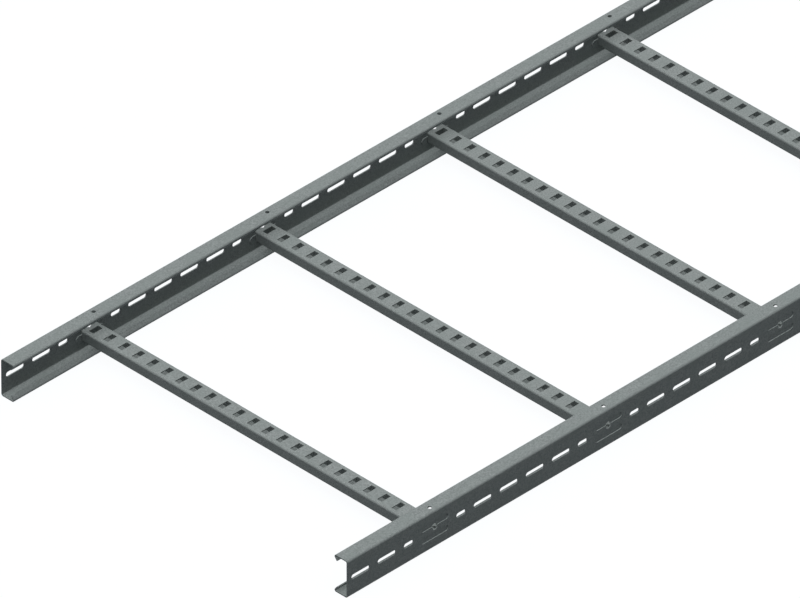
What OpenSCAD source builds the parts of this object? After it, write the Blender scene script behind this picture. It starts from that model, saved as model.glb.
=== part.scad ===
// Cable ladder section: two channel side rails joined by ten slotted channel
// rungs. It lies flat on its two lower flanges, rails along X, top face up.

/* [Ladder] */

// Length of the section along the rails, mm
ladder_length = 3000; // [300:300:6000]
// Overall width over the outer faces of the two rails, mm
ladder_width = 600; // [150:50:1000]
// Distance from one rung to the next, mm
rung_pitch = 300; // [250:50:600]
// Thickness of the steel sheet of rails and rungs, mm
sheet = 1.5; // [1:0.1:2.5]

/* [Side rail] */

// Height of the rail, mm
rail_height = 55; // [45:1:110]
// Width of the upper and lower flange, mm
flange_width = 22; // [18:1:40]
// Outer radius of the bend between web and flange, mm
rail_bend = 3; // [2:0.1:5]
// Outer radius of the bend between flange and folded-back lip, mm
lip_bend = 2.5; // [2:0.1:4]
// Straight length of the lip, folded back towards the web, mm
lip_length = 5.6; // [2:0.1:8]

/* [Openings of the side rail] */

// Height of the joining slots in the web, mm
slot_height = 7; // [5:0.5:11]
// Length of the long joining slots, mm
long_slot = 31; // [20:0.5:40]
// Length of the short joining slot beside each rung, mm
short_slot = 16; // [8:0.5:25]
// Distance from the centre of a rung to its short slots, mm
short_slot_at = 45; // [35:0.5:60]
// Distance from the centre of a rung to the nearer long slots, mm
near_slot_at = 82.5; // [70:0.5:95]
// Distance from the centre of a rung to the farther long slots, mm
far_slot_at = 127.5; // [115:0.5:140]
// Diameter of the round hole in the web at each rung, mm
joint_hole = 9; // [6:0.5:12]
// Distance of that hole's centre below the top of the rail, mm
joint_hole_drop = 24.3; // [20:0.1:30]
// Diameter of the hole in the upper flange above each rung, mm
flange_hole = 5.5; // [4:0.5:8]
// Distance of that hole's centre from the outer face of the web, mm
flange_hole_in = 9; // [7:0.5:14]

/* [Pressed beads at the joint] */

// Length of each bead along the rail, mm
bead_length = 46; // [30:1:60]
// Height of each bead, mm
bead_height = 8.4; // [5:0.1:12]
// Depth a bead is pressed inwards, mm
bead_depth = 1.2; // [0.5:0.1:1.4]
// Distance of the upper bead's middle below the top of the rail, mm
upper_bead_drop = 18.7; // [12:0.1:24]
// Distance of the lower bead's middle below the top of the rail, mm
lower_bead_drop = 36.2; // [30:0.1:42]

/* [Rung] */

// Width of the rung, mm
rung_width = 28; // [20:1:45]
// Height of the rung, mm
rung_height = 16; // [12:0.5:30]
// Distance of the rung's top below the top of the rail, mm
rung_drop = 25.3; // [18:0.1:35]
// Outer radius of the rung's bends, mm
rung_bend = 2.5; // [2:0.1:4]
// Width of the rung's lower flanges, mm
rung_flange = 8; // [4:0.5:12]
// Length of a clamp slot across the rung, mm
clamp_slot_length = 16; // [8:0.5:22]
// Width of a clamp slot along the rung, mm
clamp_slot_width = 8; // [5:0.5:12]
// Distance from one clamp slot to the next, mm
clamp_slot_pitch = 25; // [20:1:50]
// Radius of the half-round notch in each end of the rung, mm
notch_radius = 2.5; // [1:0.1:4]

/* [Hidden] */

$fn = 48;
half_length = ladder_length / 2;
half_width = ladder_width / 2;
rung_count = floor(ladder_length / rung_pitch);
first_rung = -(rung_count - 1) * rung_pitch / 2;
rung_x = [for (i = [0:rung_count - 1]) first_rung + i * rung_pitch];
rung_top = rail_height - rung_drop;
rung_length = ladder_width - 2 * sheet;
slot_z = rail_height / 2;
// the lip leans back by 3 parts in every 4 that it rises
lip_slope = 3 / 4;
// a bead's inner skin is this much larger than its recess all round
bead_wall = 1;
// how far the rung's walls are cut back where the lower bead stands in
bead_clear = bead_depth + 0.3;
clamp_count = 2 * floor((rung_length / 2 - clamp_slot_width) / clamp_slot_pitch + 0.5);
over = 1;

RUNGS = [for (i = [1:rung_count]) str("rung_", i < 10 ? "0" : "", i)];

// ---- flat shapes ----

// bent strip of sheet: the part of a ring that lies in a wedge from its centre
module bend_ring(outer, wedge) {
  intersection() {
    difference() {
      circle(r = outer);
      circle(r = outer - sheet);
    }
    polygon([[0, 0], for (way = wedge) 2 * outer * way]);
  }
}

// upright obround of a given length and height about the middle
module obround(length, height) {
  square([length - height, height], center = true);
  for (s = [-1, 1])
    translate([s * (length - height) / 2, 0]) circle(d = height);
}

// lower half of the rail's outline: web on the left, lip on the right
module rail_half() {
  lip_x = flange_width - lip_bend;
  translate([0, rail_bend]) square([sheet, rail_height / 2 - rail_bend]);
  translate([rail_bend, rail_bend]) bend_ring(rail_bend, [[-1, 0], [-1, -1], [0, -1]]);
  translate([rail_bend, 0]) square([lip_x - rail_bend, sheet]);
  translate([lip_x, lip_bend]) {
    bend_ring(lip_bend, [[0, -1], [1, -1], [1, lip_slope]]);
    rotate(atan(lip_slope))
      translate([lip_bend - sheet, 0]) square([sheet, lip_length]);
  }
}

module rail_outline() {
  rail_half();
  translate([0, rail_height]) mirror([0, 1]) rail_half();
}

// half of the rung's outline, seen along the rung, top at zero height
module rung_half() {
  side_x = rung_width / 2;
  translate([0, -sheet]) square([side_x - rung_bend, sheet]);
  translate([side_x - rung_bend, -rung_bend])
    bend_ring(rung_bend, [[1, 0], [1, 1], [0, 1]]);
  translate([side_x - sheet, rung_bend - rung_height])
    square([sheet, rung_height - 2 * rung_bend]);
  translate([side_x - rung_bend, rung_bend - rung_height])
    bend_ring(rung_bend, [[0, -1], [1, -1], [1, 0]]);
  translate([side_x - rung_flange, -rung_height])
    square([rung_flange - rung_bend, sheet]);
}

module rung_outline() {
  rung_half();
  mirror([1, 0]) rung_half();
}

// ---- openings, drawn on the web with height up ----

module web_slots() {
  for (x = rung_x)
    for (s = [-1, 1]) {
      translate([x + s * short_slot_at, slot_z]) obround(short_slot, slot_height);
      translate([x + s * near_slot_at, slot_z]) obround(long_slot, slot_height);
      translate([x + s * far_slot_at, slot_z]) obround(long_slot, slot_height);
    }
}

module joint_holes() {
  for (x = rung_x)
    translate([x, rail_height - joint_hole_drop]) circle(d = joint_hole);
}

module beads(grow) {
  for (x = rung_x)
    for (drop = [upper_bead_drop, lower_bead_drop])
      translate([x, rail_height - drop])
        obround(bead_length + 2 * grow, bead_height + 2 * grow);
}

module flange_holes() {
  for (x = rung_x)
    translate([x, flange_hole_in]) circle(d = flange_hole);
}

// ---- pieces ----

// a drawing on the web, stood up and given depth inwards from a distance in
module on_web(from, depth) {
  translate([0, from + depth, 0]) rotate([90, 0, 0]) linear_extrude(depth) children();
}

// right-hand rail with its outer face at zero width, opening towards +Y
module rail() {
  difference() {
    union() {
      translate([-half_length, 0, 0])
        rotate([90, 0, 90]) linear_extrude(ladder_length) rail_outline();
      on_web(sheet, bead_depth) beads(bead_wall);
    }
    on_web(-over, bead_depth + over) beads(0);
    on_web(-over, sheet + bead_depth + 2 * over) {
      web_slots();
      joint_holes();
    }
    translate([0, 0, rail_height - sheet - over])
      linear_extrude(sheet + 2 * over) flange_holes();
  }
}

module side_rail_right() {
  color([0.62, 0.65, 0.64]) translate([0, -half_width, 0]) rail();
}

module side_rail_left() {
  color([0.62, 0.65, 0.64]) translate([0, half_width, 0]) mirror([0, 1, 0]) rail();
}

module rung_body() {
  cut_top = rail_height - lower_bead_drop + bead_height / 2 + 2 * bead_wall;
  difference() {
    translate([0, rung_length / 2, rung_top])
      rotate([90, 0, 0]) linear_extrude(rung_length) rung_outline();
    translate([0, 0, rung_top - sheet - over])
      linear_extrude(sheet + 2 * over) {
        for (i = [0:clamp_count - 1])
          translate([0, (i - (clamp_count - 1) / 2) * clamp_slot_pitch])
            square([clamp_slot_length, clamp_slot_width], center = true);
        for (s = [-1, 1])
          translate([0, s * rung_length / 2]) circle(r = notch_radius);
      }
    for (s = [-1, 1])
      translate([0, s * rung_length / 2, cut_top / 2])
        cube([rung_width + 2 * over, 2 * bead_clear, cut_top], center = true);
  }
}

module rung(i) {
  color([0.70, 0.72, 0.71]) translate([rung_x[i], 0, 0]) rung_body();
}

side_rail_left();
side_rail_right();
for (i = [0:rung_count - 1])
  rung(i);
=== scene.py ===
"""Cable ladder section in plain galvanised steel, lying on a white floor, in isometric view from above."""
import math

import bpy
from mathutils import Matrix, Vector


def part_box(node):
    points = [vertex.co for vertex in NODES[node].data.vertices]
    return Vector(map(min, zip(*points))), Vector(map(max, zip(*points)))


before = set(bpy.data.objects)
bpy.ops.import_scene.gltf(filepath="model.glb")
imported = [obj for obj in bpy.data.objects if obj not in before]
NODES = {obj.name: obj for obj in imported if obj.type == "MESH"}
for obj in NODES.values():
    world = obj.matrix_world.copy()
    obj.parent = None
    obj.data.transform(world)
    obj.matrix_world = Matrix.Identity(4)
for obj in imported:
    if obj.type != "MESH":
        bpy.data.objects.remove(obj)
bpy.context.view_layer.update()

# ---- sizes worked out from the frame, in metres ----

RAIL_LOW, RAIL_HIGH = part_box("side_rail_right")
START_X = RAIL_LOW.x
OUTER_Y = RAIL_LOW.y
TOP_Z = RAIL_HIGH.z

# ---- view: isometric, from the start end and the right-hand rail ----

AZIMUTH = math.radians(-45)
ELEVATION = math.atan(1 / math.sqrt(2))
VIEW_WIDTH = 0.97774          # width of the view at the aim
AIM_RIGHT = 0.06371           # the aim, from the near rail's top corner, in the picture's plane
AIM_UP = 0.3179
AIM_DEPTH = 0.33              # and further away, at the middle of what the view shows
LENS = 1250.0                 # long, so that the view is nearly parallel
SENSOR = 36.0

# ---- zinc: dark and light tone of the speckle on rails and rungs, and the clouds over it ----

SPECKLE = 520.0               # grains of the zinc, per metre
CLOUD = 38.0                  # patches a few centimetres across, per metre
RAIL_ZINC = ((0.165, 0.183, 0.182, 1), (0.31, 0.342, 0.34, 1))
RUNG_ZINC = ((0.18, 0.198, 0.196, 1), (0.33, 0.362, 0.359, 1))
GREEN_ZINC = (0.228, 0.262, 0.255, 1)
GREEN_SHARE = 0.5             # how much of it the clouds bring in at most
ROUGHNESS = (0.42, 0.56)      # from one cloud to the next
METALLIC = 0.03               # very little sheen, as on dull zinc
SPECULAR = 0.05
GRAIN_STRENGTH = 0.12
GRAIN_HEIGHT = 0.0002         # of the bump, metres
NOISE_STEP = 0.37             # shift of the noise from one node to the next, metres

# ---- light and surroundings ----

FLOOR_TONE = (0.12, 0.135, 0.15, 1)
FLOOR_REACH = 60.0
FLOOR_DROP = 0.0002           # floor's depth below the flanges, clear of their faces
SUN_LEVEL = 0.53              # share of a level white surface's brightness that the key light gives
SUN_TILT = math.radians(7)    # off the vertical, towards the start of the rails
SUN_WIDTH = math.radians(20)
SKY_LEVEL = 0.5               # share that the sky gives, which is brightest overhead


def add_camera():
    back = Vector((
        math.sin(AZIMUTH) * math.cos(ELEVATION),
        -math.cos(AZIMUTH) * math.cos(ELEVATION),
        math.sin(ELEVATION),
    ))
    turn = (-back).to_track_quat("-Z", "Y")
    right = turn @ Vector((1, 0, 0))
    up = turn @ Vector((0, 1, 0))
    corner = Vector((START_X, OUTER_Y, TOP_Z))
    aim = corner + right * AIM_RIGHT + up * AIM_UP - back * AIM_DEPTH
    distance = VIEW_WIDTH * LENS / SENSOR
    data = bpy.data.cameras.new("camera")
    data.lens = LENS
    data.sensor_width = SENSOR
    data.clip_start = 1.0
    data.clip_end = 3 * distance
    camera = bpy.data.objects.new("camera", data)
    camera.rotation_mode = "QUATERNION"
    camera.rotation_quaternion = turn
    camera.location = aim + back * distance
    bpy.context.collection.objects.link(camera)
    bpy.context.scene.camera = camera


# ---- node helpers ----

def new_material(name):
    material = bpy.data.materials.new(name)
    material.use_nodes = True
    tree = material.node_tree
    tree.nodes.clear()
    return material, tree


def node(tree, kind, **values):
    """A node with its properties and inputs set by name, with _ for each space in an input's name."""
    made = tree.nodes.new(kind)
    for key, value in values.items():
        if hasattr(made, key):
            setattr(made, key, value)
        else:
            made.inputs[key.replace("_", " ")].default_value = value
    return made


def feed(tree, socket, value):
    """Link a node's output to a socket, or set the socket to a plain value."""
    if isinstance(value, bpy.types.NodeSocket):
        tree.links.new(value, socket)
    else:
        socket.default_value = value


def noise(tree, place, scale, detail, roughness):
    made = node(tree, "ShaderNodeTexNoise", Scale=scale, Detail=detail, Roughness=roughness)
    tree.links.new(place, made.inputs["Vector"])
    return made.outputs["Fac"]


def ramp(tree, value, low, high, low_out, high_out):
    """Value carried from one range to another, clamped."""
    made = node(tree, "ShaderNodeMapRange", From_Min=low, From_Max=high, To_Min=low_out, To_Max=high_out)
    tree.links.new(value, made.inputs["Value"])
    return made.outputs["Result"]


def mix_colours(tree, factor, one, two):
    made = node(tree, "ShaderNodeMix", data_type="RGBA")
    feed(tree, made.inputs[0], factor)
    feed(tree, made.inputs[6], one)
    feed(tree, made.inputs[7], two)
    return made.outputs[2]


def mix_values(tree, factor, one, two):
    made = node(tree, "ShaderNodeMix", data_type="FLOAT")
    feed(tree, made.inputs[0], factor)
    feed(tree, made.inputs[2], one)
    feed(tree, made.inputs[3], two)
    return made.outputs[0]


def product(tree, one, two):
    made = node(tree, "ShaderNodeMath", operation="MULTIPLY")
    feed(tree, made.inputs[0], one)
    feed(tree, made.inputs[1], two)
    return made.outputs[0]


def where_seen(tree, seen, others):
    """One strength for the rays that show the surroundings, the camera's and those of gloss and glass."""
    path = node(tree, "ShaderNodeLightPath")
    strength = others
    for ray in ("Is Camera Ray", "Is Glossy Ray", "Is Transmission Ray"):
        strength = mix_values(tree, path.outputs[ray], strength, seen)
    return strength


# ---- materials ----

def zinc(name, dark, light, shift):
    """Galvanised sheet: fine grey-green speckle over faint clouds, with a fine grain in its bump."""
    material, tree = new_material(name)
    output = node(tree, "ShaderNodeOutputMaterial")
    shader = node(tree, "ShaderNodeBsdfPrincipled", Metallic=METALLIC, Specular_IOR_Level=SPECULAR)
    tree.links.new(shader.outputs[0], output.inputs[0])
    place = node(tree, "ShaderNodeTexCoord").outputs["Object"]
    moved = node(tree, "ShaderNodeMapping", Location=(shift, -shift, 2 * shift))
    tree.links.new(place, moved.inputs["Vector"])
    grains = noise(tree, moved.outputs[0], SPECKLE, 3.0, 0.6)
    clouds = noise(tree, moved.outputs[0], CLOUD, 4.0, 0.55)
    speckled = mix_colours(tree, ramp(tree, grains, 0.3, 0.7, 0, 1), dark, light)
    clouded = mix_colours(tree, ramp(tree, clouds, 0.35, 0.65, 0, GREEN_SHARE), speckled, GREEN_ZINC)
    tree.links.new(clouded, shader.inputs["Base Color"])
    tree.links.new(ramp(tree, clouds, 0.3, 0.7, *ROUGHNESS), shader.inputs["Roughness"])
    bump = node(tree, "ShaderNodeBump", Strength=GRAIN_STRENGTH, Distance=GRAIN_HEIGHT)
    tree.links.new(grains, bump.inputs["Height"])
    tree.links.new(bump.outputs[0], shader.inputs["Normal"])
    return material


def floor_material():
    """Grey floor with the object's soft shadow, which camera and gloss see as white."""
    material, tree = new_material("floor")
    output = node(tree, "ShaderNodeOutputMaterial")
    both = node(tree, "ShaderNodeAddShader")
    diffuse = node(tree, "ShaderNodeBsdfDiffuse", Color=FLOOR_TONE)
    glow = node(tree, "ShaderNodeEmission")
    feed(tree, glow.inputs["Strength"], where_seen(tree, 1 - min(FLOOR_TONE), 0.0))
    tree.links.new(diffuse.outputs[0], both.inputs[0])
    tree.links.new(glow.outputs[0], both.inputs[1])
    tree.links.new(both.outputs[0], output.inputs[0])
    return material


# ---- scene ----

def add_floor():
    bpy.ops.mesh.primitive_plane_add(size=2 * FLOOR_REACH, location=(0, 0, -FLOOR_DROP))
    floor = bpy.context.object
    floor.name = "floor"
    floor.data.materials.append(floor_material())


def add_sun():
    data = bpy.data.lights.new("key", "SUN")
    data.energy = SUN_LEVEL * math.pi
    data.angle = SUN_WIDTH
    data.use_shadow = False
    sun = bpy.data.objects.new("key", data)
    sun.rotation_euler = (0, -SUN_TILT, 0)
    bpy.context.collection.objects.link(sun)


def add_sky():
    """White sky, whose light on the metal grows with the square of its height."""
    world = bpy.data.worlds.new("sky")
    bpy.context.scene.world = world
    world.use_nodes = True
    tree = world.node_tree
    tree.nodes.clear()
    output = node(tree, "ShaderNodeOutputWorld")
    sky = node(tree, "ShaderNodeBackground", Color=(1, 1, 1, 1))
    place = node(tree, "ShaderNodeTexCoord")
    parts = node(tree, "ShaderNodeSeparateXYZ")
    tree.links.new(place.outputs["Generated"], parts.inputs[0])
    height = parts.outputs["Z"]
    overhead = product(tree, product(tree, height, height), 2 * SKY_LEVEL)
    feed(tree, sky.inputs["Strength"], where_seen(tree, 1.0, overhead))
    tree.links.new(sky.outputs[0], output.inputs[0])


def dress_nodes():
    for number, (name, piece) in enumerate(sorted(NODES.items())):
        tones = RAIL_ZINC if "rail" in name else RUNG_ZINC
        piece.data.materials.clear()
        piece.data.materials.append(zinc(name + "_zinc", *tones, shift=NOISE_STEP * number))


bpy.context.scene.view_settings.view_transform = "Standard"
add_camera()
add_floor()
add_sun()
add_sky()
dress_nodes()
